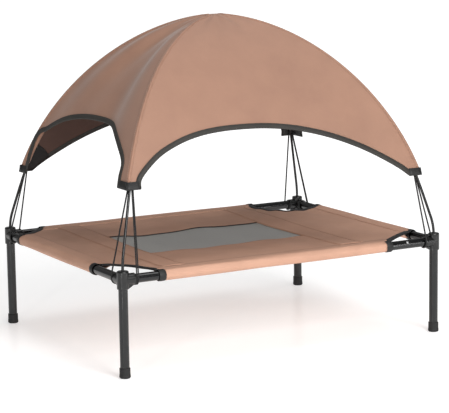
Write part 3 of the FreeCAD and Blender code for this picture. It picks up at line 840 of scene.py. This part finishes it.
# %% Sleeves
SLEEVE_R = 11.7 * MM
SIDE_FRAME = {
    "front": (Vector((0, -HALF_Y, RAIL_Z)), Vector((0, 1, 0)), Vector((1, 0, 0)), ("front_left", "front_right"), 0),
    "back": (Vector((0, HALF_Y, RAIL_Z)), Vector((0, -1, 0)), Vector((1, 0, 0)), ("back_left", "back_right"), 0),
    "left": (Vector((-HALF_X, 0, RAIL_Z)), Vector((1, 0, 0)), Vector((0, 1, 0)), ("front_left", "back_left"), 1),
    "right": (Vector((HALF_X, 0, RAIL_Z)), Vector((-1, 0, 0)), Vector((0, 1, 0)), ("front_right", "back_right"), 1),
}


def sleeve_section():
    """(distance in from the rail's axis, height) from the top seam round the rail to the bottom seam."""
    def touch(h, turn):
        return math.atan2(h, SEAM_IN) + turn * math.acos(SLEEVE_R / math.hypot(SEAM_IN, h))

    above, below = DECK_RISE + 0.9 * MM, DECK_RISE - 0.9 * MM
    start, stop = touch(above, 1), 2 * math.pi + touch(below, -1)
    arc = [(SLEEVE_R * math.cos(a), SLEEVE_R * math.sin(a)) for a in (start + (stop - start) * k / 20 for k in range(21))]

    def flat(end, h):
        return [(SEAM_IN + (end[0] - SEAM_IN) * k / 4, h + (end[1] - h) * k / 4) for k in range(4)]

    return flat(arc[0], above) + arc + flat(arc[-1], below)[::-1]


def sleeve_end(side, which, d):
    """How far along the rail's direction the sleeve reaches, at a distance in from the rail."""
    start, into, way, corners, axis = SIDE_FRAME[side]
    centre, radius = CIRCLES[corners[which]]
    spot = start + into * max(d, 0)
    across = (spot.y - centre.y) if axis == 0 else (spot.x - centre.x)
    half = math.sqrt(max((radius + BAND * 0.7) ** 2 - across ** 2, 0))
    middle = centre.x if axis == 0 else centre.y
    return middle + half * (1 if which == 0 else -1)


for side, (start, into, way, corners, axis) in SIDE_FRAME.items():
    section, length_steps = sleeve_section(), 90
    points, uvs, faces = [], [], []
    rng = random.Random(len(side))
    phase = rng.uniform(0, 6)
    for i in range(length_steps + 1):
        for k, (d, h) in enumerate(section):
            low, high = sleeve_end(side, 0, d), sleeve_end(side, 1, d)
            s = low + (high - low) * i / length_steps
            crease = 0.45 * MM * math.sin(k * 0.9 + 2.5 * math.sin(s * 9 + phase)) * (1 if 2 < k < 26 else 0)
            base = start + way * s + into * d + UP * h
            radial = (into * d + UP * h).normalized() if d < 12 * MM else UP * (1 if h > 0 else -1)
            points.append(base + radial * crease)
            uvs.append((s, k * 3.2 * MM))
    n = len(section)
    for i in range(length_steps):
        for k in range(n - 1):
            a = i * n + k
            faces.append((a, a + 1, a + n + 1, a + n))
    # The sleeves use the deck cloth, painted lighter as painted light.
    sleeve = piece("sleeve_cloth_" + side, points, faces, deck_oxford_painted_light, uvs)
    middle = sleeve.data.polygons[(length_steps // 2) * (n - 1) + 14]
    if middle.normal.dot(-into) < 0:
        sleeve.data.flip_normals()
    run = max(sleeve_end(side, 1, d) - sleeve_end(side, 0, d) for d, _ in section)
    thicken(sleeve, 0.9 * MM, offset=-1.0)
    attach(sleeve, "frame")
    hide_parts("rail_sleeve_" + side)

# %% [markdown]
# ## Corner bindings
# Heavy webbing edges each round cut-out and ends in a cuff round either rail.

# %% Corner bindings
for corner, (centre, radius) in CIRCLES.items():
    sx, sy = SIGNS[corner]
    end_x, end_y = COVER_END[corner]
    a = Vector((sx * (HALF_X - end_x), sy * (HALF_Y - 9 * MM))) - centre
    b = Vector((sx * (HALF_X - 9 * MM), sy * (HALF_Y - end_y))) - centre
    first, turn = math.atan2(a.y, a.x), 0.0
    turn = (math.atan2(b.y, b.x) - first + math.pi) % (2 * math.pi) - math.pi
    points, faces, uvs, count = [], [], [], 8
    shape = [(0.06, 1.3), (0.5, 1.65), (0.94, 1.3), (1.0, 0.0), (0.94, -1.3), (0.5, -1.65), (0.06, -1.3), (0.0, 0.0)]
    steps = 40
    for i in range(steps + 1):
        angle = first + turn * i / steps
        way = Vector((math.cos(angle), math.sin(angle)))
        for k, (across, up) in enumerate(shape):
            spot = centre + way * (radius + BAND * across)
            points.append(Vector((spot.x, spot.y, deck_z(spot.x, spot.y) + up * MM)))
            uvs.append((abs(turn) * radius * i / steps, across * BAND))
    for i in range(steps):
        for k in range(count):
            p, q = i * count + k, i * count + (k + 1) % count
            faces.append((p, q, q + count, p + count))
    faces += [tuple(range(count - 1, -1, -1)), tuple(range(steps * count, steps * count + count))]
    for way, end in ((Vector((-sx, 0, 0)), end_x), (Vector((0, -sy, 0)), end_y)):
        axis = Vector((sx * HALF_X, sy * HALF_Y, RAIL_Z))
        outline = [(0.0, 11.9), (0.1, 12.6), (0.5, 12.9), (0.9, 12.6), (1.0, 11.9)]
        base, turns = len(points), 28
        side = UP.cross(way)
        for d, r in outline:
            for k in range(turns):
                angle = 2 * math.pi * k / turns
                points.append(axis + way * (end + BAND * d) + (side * math.cos(angle) + UP * math.sin(angle)) * (r * MM))
                uvs.append((d * BAND, angle * 12 * MM))
        for i in range(len(outline) - 1):
            for k in range(turns):
                p, q = base + i * turns + k, base + i * turns + (k + 1) % turns
                faces.append((p, q, q + turns, p + turns))
    binding = piece("corner_web_" + corner, points, faces, corner_web, uvs, merge=0.001 * MM)
    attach(binding, "frame")
    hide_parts("corner_binding_" + corner)
print("corner bindings", len(CIRCLES))

# %% [markdown]
# ## Elastic cords
# Two cords run from each tip down to the rails and hook under them, across the joint between
# canopy and frame.

# %% Elastic cords
HOOK_R, HOOK_AT, CORD_R = 12.4 * MM, 28.6 * MM, 1.8 * MM
DOUBLED = {("front_left", 0), ("back_right", 1)}
for corner, (sx, sy) in SIGNS.items():
    level = math.asin(((TIP[corner] + 4 * MM - DOME_BASE) / POLE_RISE) ** (CURVE_N / 2))
    pole = pole_point(corner, level)
    ways = [Vector((-sx, 0, 0)), Vector((0, -sy, 0))]
    paths = []
    for n, (way, other) in enumerate(zip(ways, reversed(ways))):
        middle = Vector((sx * HALF_X, sy * HALF_Y, RAIL_Z)) + way * HOOK_AT
        hook = [middle + other * HOOK_R + UP * 7 * MM]
        hook += [middle + (other * math.cos(a) - UP * math.sin(a)) * HOOK_R for a in (math.pi * k / 14 for k in range(15))]
        hook += [middle - other * HOOK_R + UP * 7 * MM]
        top = pole + way * 5.4 * MM - other * 1 * MM
        strand = [hook[-1].lerp(top, k / 12) for k in range(1, 13)]
        spread = 1.9 * MM if (corner, n) in DOUBLED else 0.0
        for shift in ((-spread, spread) if spread else (0.0,)):
            offset = [way * shift * (1 - 0.3 * k / 12) for k in range(13)]
            run = [p + way * shift for p in hook] + [p + offset[k] for k, p in enumerate(strand)]
            paths.append((run, circle(CORD_R if not spread else CORD_R * 0.85, 8)))
    points, faces, uvs = swept(paths, 11 * MM)
    cords = piece("elastic_" + corner, points, faces, elastic_braid, uvs, merge=0.001 * MM)
    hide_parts("elastic_cords_" + corner)
    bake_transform(cords)
    print("elastic", corner, [round(sum((b - a).length for a, b in zip(p, p[1:])), 3) for p, _ in paths])

# %% [markdown]
# ## Springs under the snap buttons
# Each button stands on a V-shaped leaf inside the rail, which closes when the button is pressed.

# %% Button springs
LEAF_HIGH, LEAF_LOW, LEAF_T, LEAF_REACH = 4.85 * MM, -6.9 * MM, 0.5 * MM, 30 * MM
for name, sy in (("front", -1), ("back", 1)):
    at = Vector((HALF_X - 77 * MM, sy * HALF_Y, RAIL_Z))
    away, out = Vector((-1, 0, 0)), Vector((0, sy * math.cos(math.radians(35)), math.sin(math.radians(35))))
    across = away.cross(out) * (2.5 * MM)
    back, near = -4 * MM, 5 * MM
    outline = [
        (back, LEAF_HIGH), (near, LEAF_HIGH), (LEAF_REACH, -0.4 * MM), (LEAF_REACH, -1.6 * MM),
        (near, LEAF_LOW), (back, LEAF_LOW), (back, LEAF_LOW + LEAF_T), (near, LEAF_LOW + LEAF_T),
        (LEAF_REACH - 1 * MM, -1.2 * MM), (LEAF_REACH - 1 * MM, -0.8 * MM),
        (near, LEAF_HIGH - LEAF_T), (back, LEAF_HIGH - LEAF_T),
    ]
    points = [at + away * d + out * h + across * edge for edge in (-1, 1) for d, h in outline]
    count = len(outline)
    faces = [(k, (k + 1) % count, (k + 1) % count + count, k + count) for k in range(count)]
    # the V is closed by quads from its outer line to its inner one
    pairs = [(k, (11 - k)) for k in range(2)] + [(2, 9), (3, 8), (4, 7), (5, 6)]
    for (a, b), (c, d) in zip(pairs, pairs[1:]):
        faces += [(a, b, d, c), (a + count, c + count, d + count, b + count)]
    leaf = piece("button_leaf_" + name, points, faces, zinc_plate, merge=0.001 * MM)
    leaf.data.polygons.foreach_set("use_smooth", [False] * len(leaf.data.polygons))
    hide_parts("button_springs")
    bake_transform(leaf)
print("button springs", 2)

# %% [markdown]
# ## Stitches
# A stitch is a short bar of thread lying on the cloth. Geometry Nodes lay them at an even pitch
# along any path, so one small tree sews the ridge seams and the deck seams. The real pitch is about
# 3 mm; it is drawn at 5 mm so that single stitches can be seen.

# %% Stitch tree
def stitch_tree():
    tree = bpy.data.node_groups.new("sewn_line", "GeometryNodeTree")
    tree.interface.new_socket("Geometry", in_out="INPUT", socket_type="NodeSocketGeometry")
    for name, value in (("Pitch", 5 * MM), ("Stitch Length", 3.2 * MM), ("Thread Radius", 0.45 * MM)):
        socket = tree.interface.new_socket(name, in_out="INPUT", socket_type="NodeSocketFloat")
        socket.default_value = value
    tree.interface.new_socket("Geometry", in_out="OUTPUT", socket_type="NodeSocketGeometry")
    given = add(tree, "NodeGroupInput")
    line = add(tree, "GeometryNodeMeshToCurve", i0=given.outputs["Geometry"])
    even = add(tree, "GeometryNodeResampleCurve", {"mode": "LENGTH"}, Curve=line.outputs["Curve"])
    tree.links.new(given.outputs["Pitch"], even.inputs["Length"])
    tangent = add(tree, "GeometryNodeInputTangent")
    turn = add(tree, "FunctionNodeAlignRotationToVector", {"axis": "Z"}, Vector=tangent.outputs["Tangent"])
    bar = add(tree, "GeometryNodeMeshCylinder", Vertices=6)
    tree.links.new(given.outputs["Thread Radius"], bar.inputs["Radius"])
    tree.links.new(given.outputs["Stitch Length"], bar.inputs["Depth"])
    placed = add(tree, "GeometryNodeInstanceOnPoints", Points=even.outputs["Curve"], Instance=bar.outputs["Mesh"], Rotation=turn.outputs["Rotation"])
    real = add(tree, "GeometryNodeRealizeInstances", Geometry=placed.outputs["Instances"])
    painted = add(tree, "GeometryNodeSetMaterial", Geometry=real.outputs["Geometry"], Material=thread)
    out = add(tree, "NodeGroupOutput")
    tree.links.new(painted.outputs["Geometry"], out.inputs[0])
    return tree


sewn_line = stitch_tree()
INPUT_ID = {s.name: s.identifier for s in sewn_line.interface.items_tree if s.in_out == "INPUT"}
print("stitch inputs", sorted(INPUT_ID))

# %% Sew the seams
def sew(name, lines, body, pitch=5 * MM):
    """Stitches along each line of points, as one plain mesh on a body."""
    points, runs = [], []
    for line in lines:
        base = len(points)
        points += line
        runs += [(base + k, base + k + 1) for k in range(len(line) - 1)]
    path = bpy.data.meshes.new(name + "_path")
    path.from_pydata([tuple(p) for p in points], runs, [])
    guide = bpy.data.objects.new(name + "_path", path)
    bpy.context.collection.objects.link(guide)
    modifier = guide.modifiers.new("sewn", "NODES")
    modifier.node_group = sewn_line
    modifier[INPUT_ID["Pitch"]] = pitch
    graph = bpy.context.evaluated_depsgraph_get()
    mesh = bpy.data.meshes.new_from_object(guide.evaluated_get(graph))
    bpy.data.objects.remove(guide)
    mesh.name = name
    stitches = bpy.data.objects.new(name, mesh)
    bpy.context.collection.objects.link(stitches)
    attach(stitches, body)
    print(name, len(mesh.polygons), "faces")
    return stitches


ridge_lines = []
for corner in SIGNS:
    out = Vector((SIGNS[corner][0] * OUT_X, SIGNS[corner][1] * OUT_Y, 0))
    for side in sides_of(corner):
        line = []
        for z in ridge_levels(corner):
            lift = (out * share_of(z) + UP * (1 - share_of(z))).normalized() * (1.0 * MM)
            line.append(beside_ridge(corner, side, z, 5 * MM) + lift)
        ridge_lines.append(line)
sew("ridge_stitches", ridge_lines, "canopy")

deck_lines = []
for x in (WINDOW_X[0] - 4 * MM, WINDOW_X[0] - 52 * MM, WINDOW_X[1] + 4 * MM, WINDOW_X[1] + 58 * MM):
    deck_lines.append([Vector((x, y, deck_z(x, y) + 1.6 * MM)) for y in spaced([-INNER_Y + 4 * MM, INNER_Y - 4 * MM], 8 * MM)])
for y in (WINDOW_Y[0] - 4 * MM, WINDOW_Y[1] + 4 * MM):
    deck_lines.append([Vector((x, y, deck_z(x, y) + 1.0 * MM)) for x in spaced([WINDOW_X[0], WINDOW_X[1]], 8 * MM)])
sew("deck_stitches", deck_lines, "frame")

# %% [markdown]
# ## What the cloth was cut to
# Stretched cloth has the area it was cut to. The canopy's ridges lie straight when it is laid flat,
# so its four tips are then the corners of a rectangle whose diagonals are as long as the ridges. The
# deck's rectangle is the span between the rails' seams.


print("cloth made")

# %% [markdown]
# ## Floor and light
# A pale floor runs out to a white room. It glows less near the cot, so that the black legs mirror
# less of it and a faint shadow shows. A soft key from the front lights the long side and reaches under the
# arch, which leaves the short side and the back of the deck in shade. Narrow strips draw
# highlights on the tubes.

# %% Floor and light
floor_material, floor_tree, floor_shader = finish_called("pale_studio_floor")
floor_shader.inputs["Base Color"].default_value = linear("#F6F6F6")
floor_shader.inputs["Roughness"].default_value = 0.22
floor_shader.inputs["Emission Color"].default_value = (1, 1, 1, 1)
spot = add(floor_tree, "ShaderNodeTexCoord").outputs["Object"]
away = add(floor_tree, "ShaderNodeVectorMath", {"operation": "LENGTH"}, i0=spot)
glow = add(floor_tree, "ShaderNodeMapRange", Value=away.outputs["Value"], From_Min=0.6, From_Max=2.6, To_Min=0.42, To_Max=0.85)
floor_tree.links.new(glow.outputs["Result"], floor_shader.inputs["Emission Strength"])
reach = 25
floor = piece("floor", [Vector((x, y, 0)) for x, y in ((-reach, -reach), (reach, -reach), (reach, reach), (-reach, reach))], [(0, 1, 2, 3)], floor_material)
floor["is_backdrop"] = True

world = bpy.data.worlds.new("studio")
bpy.context.scene.world = world
world.use_nodes = True
world.node_tree.nodes["Background"].inputs["Color"].default_value = (1, 1, 1, 1)
world.node_tree.nodes["Background"].inputs["Strength"].default_value = 0.28


def softbox(name, place, aim, size, power):
    light = bpy.data.lights.new(name, "AREA")
    light.shape, light.size, light.size_y, light.energy = "RECTANGLE", size[0], size[1], power
    obj = bpy.data.objects.new(name, light)
    bpy.context.collection.objects.link(obj)
    obj.location = place
    obj.rotation_euler = (Vector(aim) - Vector(place)).to_track_quat("-Z", "Y").to_euler()
    return obj


softbox("key", (0.05, -3.25, 2.15), (0, 0, 0.35), (1.5, 1.5), 78)
softbox("top", (0.5, -0.2, 3.2), (0, 0, 0.4), (2.2, 2.2), 40)
softbox("strip", (-2.5, -2.2, 0.75), (0, 0, 0.3), (0.12, 1.4), 15)
softbox("right_strip", (1.9, -2.9, 0.72), (0.2, 0, 0.3), (0.10, 1.3), 9)
softbox("front_fill", (-0.5, -3.3, 1.35), (0, 0, 0.25), (2.0, 0.8), 28)
bpy.context.scene.view_settings.view_transform = "Standard"
print("lights placed")

# %% Finish
low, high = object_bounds()
